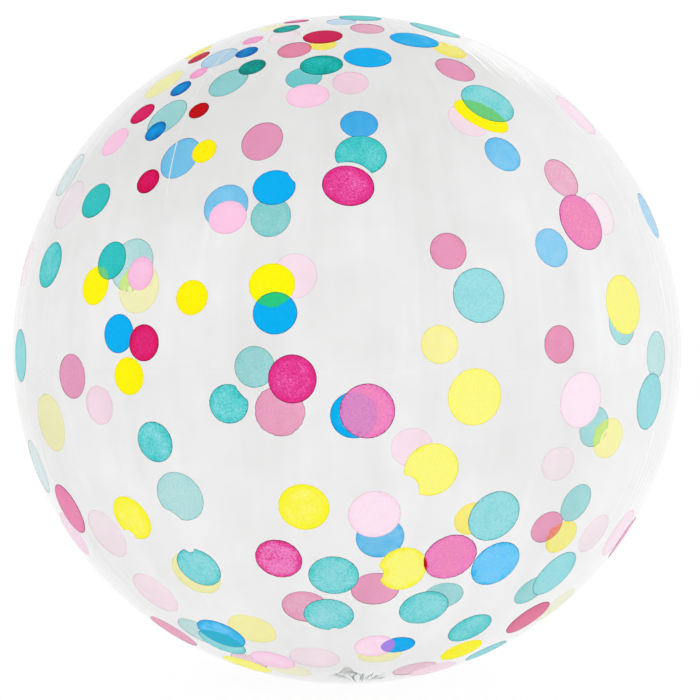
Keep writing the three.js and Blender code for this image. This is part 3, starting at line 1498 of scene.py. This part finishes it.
TEAL_DOTS = (
    Dot(-24.3, 50.8, 23.5), Dot(-6.3, 50.65, 35.4, squash=0.85, thin=-6), Dot(-25, 66, 23.5, thin=2),
    Dot(-48.7, 24, 36.6, squash=0.86, thin=-2), Dot(-58, 13.6, 40.5, squash=0.97, thin=-2),
    Dot(-40.1, 13.7, 31.5), Dot(-31.2, -14, 33.2, thin=6),
    Dot(-17.8, -8, 32, squash=0.96, thin=7, bites=(Bite(40, 3, 60),)), Dot(-69, -1, 45),
    Dot(2.4, 30.4, 40.6, squash=0.92, thin=-2, bites=(Bite(-111, 11.4, 44),)),
    Dot(-29.3, -35.7, 39.4, thin=2, bites=(Bite(95, 4, 9),)), Dot(-2.5, -36.5, 40, thin=1),
    Dot(-4, -45.4, 40.6, thin=1, bites=(Bite(-80, 2.6, 8),)), Dot(8, 74, 37, thin=2),
    Dot(43, 68, 45, thin=-4),
    Dot(31, 42, 48, squash=0.93, thin=-5), Dot(20, 8, 43, thin=4), Dot(58, -8.3, 47.5),
    Dot(25.5, -26, 45),
    Dot(16.7, -44, 41), Dot(47.2, -38.4, 44.5, squash=1.08), Dot(32.2, -50.4, 38.2, squash=1.07),
    Dot(56, -60.9, 39, thin=5), Dot(-38.2, -55.4, 43),
    # back
    Dot(-162.4, 62.3, 36, thin=-5), Dot(-120.2, 48.1, 42.5, squash=1.12, thin=4),
    Dot(-132.3, 59, 38.5, squash=1.15),
    Dot(-162.7, 27.3, 43, squash=1.04, thin=-6),
    Dot(-92, 32.2, 45, thin=28), Dot(-131.2, 16.5, 55), Dot(-161, -3.5, 44, thin=-2),
    Dot(-139.6, -29.7, 54.5, bites=(Bite(-50, 4, 70),)), Dot(-89, -20.8, 51, thin=20),
    Dot(-107, -61.3, 45, thin=15),
    Dot(116, 5, 44), Dot(103, -1, 45, thin=12), Dot(122.5, -14.8, 42.5, squash=0.96, ragged=0.012, thin=5),
    Dot(120.5, -30, 41, thin=2), Dot(115.2, -49.8, 38, thin=2), Dot(147.5, -54, 43, squash=0.86, thin=2),
)

MAGENTA_DOTS = (
    Dot(-31.7, 40.3, 18.3, red=1.0), Dot(-36.5, 26.7, 22.4), Dot(-49, 41, 27.4, squash=0.85),
    Dot(-49.8, 56.4, 21, red=0.5),
    Dot(-8, 60.8, 33.5, squash=0.92, red=0.6), Dot(52.5, -49.6, 43, squash=1.04, red=0.35, thin=6),
    Dot(0.2, 25, 41, squash=0.86, lean=-17, thin=-1), Dot(-8, -4.3, 37.5, thin=-1),
    Dot(3, -9, 42.5, thin=3),
    Dot(-12.4, -33.3, 37.8, ragged=0.01, thin=3), Dot(42, 20, 48),
    Dot(19, -33.2, 44.2, ragged=0.012, thin=1.5),
    Dot(-32, 1, 29), Dot(-61.1, -26.7, 44, squash=1.06, red=0.12, thin=5), Dot(76, -33.5, 43, thin=30),
    Dot(-27.5, 71.5, 24, squash=0.55, thin=22),
    # back
    Dot(-156.4, 44.5, 43, squash=1.14), Dot(-148, 71.7, 33, red=0.1, thin=3),
    Dot(150.5, 82.7, 31.5, thin=26), Dot(130.6, 63, 40, thin=8),
    Dot(122.5, 34, 43, thin=13), Dot(-166, -12.5, 54, ragged=0.02, thin=-3), Dot(158, 20, 40),
    Dot(134, 1, 39),
    Dot(-86, -58.3, 49, thin=2), Dot(-165, -58, 47, thin=8), Dot(171, -53, 49, squash=0.92),
    Dot(103, -77.7, 41, thin=25), Dot(126.3, -35.6, 40, squash=0.9, thin=9), Dot(-116, -5, 44),
    Dot(-100, -72.3, 39, squash=0.9, thin=33),
)

PINK_DOTS = (
    Dot(-52.3, 35.3, 33, squash=0.88), Dot(-19.2, 20, 31.4, squash=0.89), Dot(-40.5, 50.4, 16.5),
    Dot(-33.3, 61, 18.5, thin=-2),
    Dot(-8.2, 42.6, 35, squash=0.82, thin=2), Dot(-33.5, 11.5, 25.2, squash=1.08),
    Dot(4.5, -25.2, 41), Dot(-25.6, -61, 38.6, thin=-2), Dot(7.5, -54.5, 34, squash=1.06, thin=4),
    Dot(38.7, -7.7, 45, thin=2),
    # back
    Dot(178.6, 61, 36), Dot(142.3, 49.1, 43, thin=8), Dot(92, 45.7, 50, thin=-5),
    Dot(-88.5, 15, 42, thin=26),
    Dot(-169, 15, 48.5),
    Dot(-123.5, -10.6, 39), Dot(-90, -34, 46, thin=-6), Dot(-110, -35.8, 53, thin=5), Dot(-110, -50, 52),
    Dot(130.4, -22.4, 42, squash=0.85, thin=20), Dot(166, -20, 45, squash=0.94),
    Dot(107, -35.5, 42, thin=16),
    Dot(92, -34, 50),
    Dot(84, -74.8, 42, thin=-2), Dot(-155, -76, 48, thin=7), Dot(-126, 76, 30, thin=34),
    Dot(115, 26, 44, thin=14), Dot(-102.2, 27, 50, thin=20),
)

YELLOW_INK = InkFinish(
    name="ink_yellow",
    widths=((20, (249, 235, 0)), (36, (248, 244, 3)), (38.5, (246, 241, 42)), (41, (246, 241, 76)),
            (43, (247, 244, 128)), (56, (246, 244, 160))),
    painted_backlight_far_widths=((32, (243, 230, 106)), (37, (244, 234, 118)), (40, (245, 239, 150)), (44, (245, 240, 170)),
                (54, (240, 237, 180)), (76, (238, 236, 226))),
    over_yellow=(248, 240, 40),
    over_cool=(110, 205, 140),
    painted_backlight_far_over=(200, 226, 178),
    rim=(242, 238, 210),
    mottle=1.5,
    grain=1.0,
    specks=0.03,
)

BLUE_INK = InkFinish(
    name="ink_blue",
    widths=((18, (8, 96, 180)), (20, (8, 124, 190)), (28, (0, 180, 238)), (33, (0, 182, 238)),
            (38, (4, 179, 233)), (42, (76, 194, 236)), (44, (117, 205, 245)), (56, (150, 213, 246))),
    painted_backlight_far_widths=((32, (10, 178, 236)), (37, (70, 188, 236)), (40, (112, 199, 238)), (50, (138, 206, 238)),
                (60, (184, 214, 232)), (76, (214, 224, 234))),
    over_yellow=(40, 200, 140),
    over_cool=(46, 184, 214),
    painted_backlight_far_over=(90, 196, 214),
    rim=(120, 158, 196),
    mottle=3.0,
    grain=2.0,
    specks=0.08,
)

TEAL_INK = InkFinish(
    name="ink_teal",
    widths=((21, (6, 128, 118)), (24, (12, 144, 133)), (26.5, (4, 172, 163)), (31, (46, 195, 192)),
            (36, (62, 197, 196)), (40, (106, 210, 212)), (43, (142, 217, 221)), (46, (158, 221, 226)),
            (58, (176, 222, 227))),
    painted_backlight_far_widths=((36, (122, 208, 212)), (40, (150, 212, 213)), (44, (164, 216, 217)), (54, (175, 221, 221)),
                (64, (206, 226, 228)), (76, (228, 233, 233))),
    over_yellow=(110, 205, 140),
    over_cool=(94, 198, 199),
    painted_backlight_far_over=(192, 225, 124),
    rim=(132, 158, 164),
    mottle=2.4,
    grain=3.4,
    specks=0.10,
)

MAGENTA_INK = InkFinish(
    name="ink_magenta",
    widths=((19, (196, 0, 76)), (24, (214, 8, 92)), (30, (220, 34, 112)), (37, (224, 54, 146)),
            (41, (230, 86, 162)), (43, (236, 128, 194)), (46, (238, 142, 200)), (50, (238, 146, 190)),
            (58, (240, 172, 208))),
    painted_backlight_far_widths=((32, (226, 140, 165)), (39, (232, 152, 190)), (46, (231, 160, 193)), (54, (233, 163, 194)),
                (64, (232, 196, 210)), (76, (234, 216, 224))),
    over_yellow=(190, 4, 16),
    over_cool=(120, 90, 156),
    painted_backlight_far_over=(236, 130, 110),
    rim=(140, 112, 126),
    mottle=1.8,
    grain=4.2,
    specks=0.11,
    edge_gain=2.4,
    roughness=0.36,
)

PINK_INK = InkFinish(
    name="ink_pink",
    widths=((17, (238, 162, 204)), (28, (245, 197, 226)), (34, (246, 204, 229)), (38, (247, 212, 233)),
            (41, (248, 227, 239)), (52, (247, 235, 243))),
    painted_backlight_far_widths=((34, (242, 212, 226)), (43, (244, 221, 233)), (52, (245, 224, 234)), (60, (242, 230, 235)),
                (76, (236, 232, 236))),
    over_yellow=(250, 224, 200),
    over_cool=(186, 142, 234),
    painted_backlight_far_over=(232, 214, 216),
    rim=(242, 230, 238),
    mottle=2.0,
    grain=1.5,
    specks=0.03,
)


# ---------------------------------------------------------------------------------------------------------
# stage, light and camera
# ---------------------------------------------------------------------------------------------------------


@dataclass(frozen=True)
class Stage:
    """A plain pale floor that runs on to a pale surrounding of the same tone.

    Attributes:
        reach: the floor's radius in metres.
        floor_steps: points round the floor.
        floor_tone: how much light the floor gives back.
        floor_patches: features to the metre of its tone.
        floor_change: how far its tone changes, as a share.
        sky_seen, sky_light: brightness of the surrounding as it is seen and as it lights.
        backdrop: brightness of the white backdrop as it is mirrored, and backdrop_run where it starts.
        room_slope: direction in which the mirrored room grows paler, and room_run where it does.
        room_dark, room_pale: its brightness at both ends.
        gap_run: where the dark gap starts before the backdrop, and gap_share the light left in it.
    """

    reach: float = 30.0
    floor_steps: int = 64
    floor_tone: float = 0.20
    floor_patches: float = 1.3
    floor_change: float = 0.005
    sky_seen: float = 1.02
    sky_light: float = 1.35
    backdrop: float = 1.0
    backdrop_run: tuple[float, float] = (0.74, 0.80)
    room_slope: tuple[float, float, float] = (0.75, 0.25, -0.6)
    room_run: tuple[float, float] = (-0.75, 0.65)
    room_dark: float = 0.10
    room_pale: float = 0.80
    gap_run: tuple[float, float] = (0.60, 0.66)
    gap_share: float = 0.25

    def floor(self) -> bpy.types.Object:
        """A round floor at height 0, as one fan of a circle, that glows just enough to match the sky.

        It lights the ball from below as strongly as the sky does from above.

        Returns:
            The floor's object.
        """
        steps = self.floor_steps
        angle = np.linspace(0.0, FULL_TURN, steps, endpoint=False)
        ring = np.stack((np.cos(angle), np.sin(angle), np.zeros(steps)), axis=-1) * self.reach
        mesh = bpy.data.meshes.new("floor")
        points = np.concatenate((ring, np.zeros((1, 3))))
        mesh.from_pydata(points.tolist(), [], fan_faces(steps, 0, steps)[:, ::-1].tolist())
        floor = bpy.data.objects.new("floor", mesh)
        bpy.context.scene.collection.objects.link(floor)
        floor.visible_glossy = False
        bench = NodeBench("pale_floor")
        glow = self.sky_seen - self.floor_tone * self.sky_light
        bench.plain(Roughness=0.9, Specular_IOR_Level=0.0)
        path = bench.add("ShaderNodeLightPath")
        strong_glow = glow + self.sky_light - self.sky_seen
        lit = bench.span(path.outputs["Is Diffuse Ray"], 0.0, 1.0, glow, strong_glow)
        bench.join(lit, bench.shader.inputs["Emission Strength"])
        drift = bench.noise(bench.place(), self.floor_patches)
        parts = (1.0 - self.floor_change, 1.0 + self.floor_change)
        dark, pale = ((self.floor_tone * part,) * 3 + (1.0,) for part in parts)
        bench.join(bench.ramp(drift, [(0.3, dark), (0.7, pale)]), bench.shader.inputs["Base Color"])
        bench.shader.inputs["Emission Color"].default_value = (1.0, 1.0, 1.0, 1.0)
        mesh.materials.append(bench.material)
        return floor

    def room(self, tree: bpy.types.NodeTree) -> bpy.types.NodeSocket:
        """Brightness of what the film mirrors, by direction.

        The room in front grows from dark at the upper left to pale at the lower right. A narrow dark gap
        divides it from the white backdrop behind the ball.

        Args:
            tree: the surrounding's node tree.
        Returns:
            The brightness.
        """
        direction = tree.nodes.new("ShaderNodeTexCoord").outputs["Generated"]
        results = []
        for slope in (self.room_slope, (0.0, 1.0, 0.0)):
            dot = tree.nodes.new("ShaderNodeVectorMath")
            dot.operation = "DOT_PRODUCT"
            dot.inputs[1].default_value = slope
            tree.links.new(direction, dot.inputs[0])
            results.append(dot.outputs["Value"])
        across, depth = results
        parts = []
        for source, span in (
            (across, (*self.room_run, self.room_dark, self.room_pale)),
            (depth, (*self.gap_run, 1.0, self.gap_share)),
            (depth, (*self.backdrop_run, 0.0, self.backdrop)),
        ):
            step = tree.nodes.new("ShaderNodeMapRange")
            for key, value in zip(("From Min", "From Max", "To Min", "To Max"), span):
                step.inputs[key].default_value = value
            tree.links.new(source, step.inputs["Value"])
            parts.append(step.outputs["Result"])
        front, gap, behind = parts
        dimmed = tree.nodes.new("ShaderNodeMath")
        dimmed.operation = "MULTIPLY"
        tree.links.new(front, dimmed.inputs[0])
        tree.links.new(gap, dimmed.inputs[1])
        whole = tree.nodes.new("ShaderNodeMath")
        whole.operation = "MAXIMUM"
        tree.links.new(dimmed.outputs["Value"], whole.inputs[0])
        tree.links.new(behind, whole.inputs[1])
        return whole.outputs["Value"]

    def sky(self) -> None:
        """A surrounding that is plain where it is seen or lights, and a soft room where it is mirrored."""
        world = bpy.data.worlds.new("studio")
        world.use_nodes = True
        tree = world.node_tree
        tree.nodes.clear()
        path = tree.nodes.new("ShaderNodeLightPath")
        output = tree.nodes.new("ShaderNodeOutputWorld")
        shades = []
        for strength in (self.sky_light, self.backdrop, self.sky_seen):
            shade = tree.nodes.new("ShaderNodeBackground")
            shade.inputs["Color"].default_value = (1.0, 1.0, 1.0, 1.0)
            shade.inputs["Strength"].default_value = strength
            shades.append(shade)
        tree.links.new(self.room(tree), shades[1].inputs["Strength"])
        result = shades[0].outputs["Background"]
        for kind, shade in (("Is Glossy Ray", shades[1]), ("Is Camera Ray", shades[2])):
            mix = tree.nodes.new("ShaderNodeMixShader")
            tree.links.new(path.outputs[kind], mix.inputs["Fac"])
            tree.links.new(result, mix.inputs[1])
            tree.links.new(shade.outputs["Background"], mix.inputs[2])
            result = mix.outputs["Shader"]
        tree.links.new(result, output.inputs["Surface"])
        bpy.context.scene.world = world


@dataclass(frozen=True)
class SoftLight:
    """One square studio light.

    Attributes:
        name: the light's name.
        place: where it stands.
        side: length of its side.
        power: watts.
    """

    name: str
    place: tuple[float, float, float]
    side: float
    power: float

    def build(self, aim: np.ndarray) -> bpy.types.Object:
        """Makes the light.

        Args:
            aim: the point that it is turned towards.
        Returns:
            The light's object.
        """
        data = bpy.data.lights.new(self.name, "AREA")
        data.shape = "SQUARE"
        data.size = self.side
        data.energy = self.power
        light = bpy.data.objects.new(self.name, data)
        light.location = self.place
        light.rotation_euler = look_rotation(np.array(self.place), aim)
        light.visible_camera = False
        bpy.context.scene.collection.objects.link(light)
        return light


def look_rotation(place: np.ndarray, aim: np.ndarray) -> tuple[float, float, float]:
    """Turns that point an object's -Z from a place to an aim, with its own Y kept upwards.

    Args:
        place: where the object is.
        aim: the point that it faces.
    Returns:
        The turns about X, Y and Z, in radians.
    """
    east, north, up = (float(value) for value in aim - place)
    level = math.hypot(east, north)
    return (math.pi / 2.0 + math.atan2(up, level), 0.0, math.atan2(north, east) - math.pi / 2.0)


STUDIO_LIGHTS = (
    SoftLight("key", (-1.5, -1.9, 2.1), 0.7, 9.0),
    SoftLight("fill", (1.9, -1.6, 1.2), 0.5, 4.0),
    SoftLight("back", (0.8, 2.2, 1.9), 0.6, 5.0),
)


@dataclass(frozen=True)
class StudioCamera:
    """A level camera in front of the ball.

    Attributes:
        ball: the ball that it faces.
        radii_away: its distance from the ball's centre, in the ball's radii.
        lens: focal length in millimetres.
        sensor: width of its sensor in millimetres.
        shift_x, shift_y: shift of its picture, as shares of the picture's side.
    """

    ball: BallForm
    radii_away: float = 6.0
    lens: float = 101.85
    sensor: float = 36.0
    shift_x: float = 3.0 / PICTURE_SIDE
    shift_y: float = -0.5 / PICTURE_SIDE

    def build(self) -> bpy.types.Object:
        """Makes the camera and sets it as the scene's own.

        Returns:
            The camera's object.
        """
        data = bpy.data.cameras.new("camera")
        data.lens = self.lens
        data.sensor_width = self.sensor
        data.shift_x = self.shift_x
        data.shift_y = self.shift_y
        camera = bpy.data.objects.new("camera", data)
        camera.location = (0.0, -self.radii_away * self.ball.radius, self.ball.centre)
        camera.rotation_euler = (math.pi / 2.0, 0.0, 0.0)
        bpy.context.scene.collection.objects.link(camera)
        bpy.context.scene.camera = camera
        return camera


def set_picture() -> None:
    """Plain display tones, and enough see-through layers for both walls with dots on them."""
    scene = bpy.context.scene
    scene.view_settings.view_transform = "Standard"
    scene.cycles.transparent_max_bounces = SEE_THROUGH_LAYERS


def write_sizes() -> None:
    """Updates the view layer."""
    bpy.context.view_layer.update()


def main() -> None:
    """Builds the balloon's film and print, then the stage, the lights and the camera."""
    logging.basicConfig(level=logging.INFO, format="%(name)s: %(message)s")
    ball = BallForm.from_frame()
    bag = FilmBag(ball)
    pieces = [bag.build(), WeldBand(ball).build(), GatherFolds(bag).build()]
    prints = (
        (InkLayer.YELLOW, YELLOW_INK, YELLOW_DOTS, (), ()),
        (InkLayer.TEAL, TEAL_INK, TEAL_DOTS, YELLOW_DOTS, ()),
        (InkLayer.BLUE, BLUE_INK, BLUE_DOTS, YELLOW_DOTS, TEAL_DOTS),
        (InkLayer.MAGENTA, MAGENTA_INK, MAGENTA_DOTS, YELLOW_DOTS, ()),
        (InkLayer.PINK, PINK_INK, PINK_DOTS, (), BLUE_DOTS),
    )
    for layer, finish, dots, yellow_under, cool_under in prints:
        slot = f"ink_{layer.name.lower()}"
        ink = InkPrint(ball, layer, finish, dots, yellow_under, cool_under, slot)
        pieces.append(ink.build())
    for piece in pieces:
        LOG.info("%s: %d faces", piece.name, len(piece.data.polygons))
    stage = Stage()
    stage.floor()
    stage.sky()
    aim = np.array((0.0, 0.0, ball.centre))
    for light in STUDIO_LIGHTS:
        light.build(aim)
    StudioCamera(ball).build()
    set_picture()
    write_sizes()


if __name__ == "__main__":
    main()
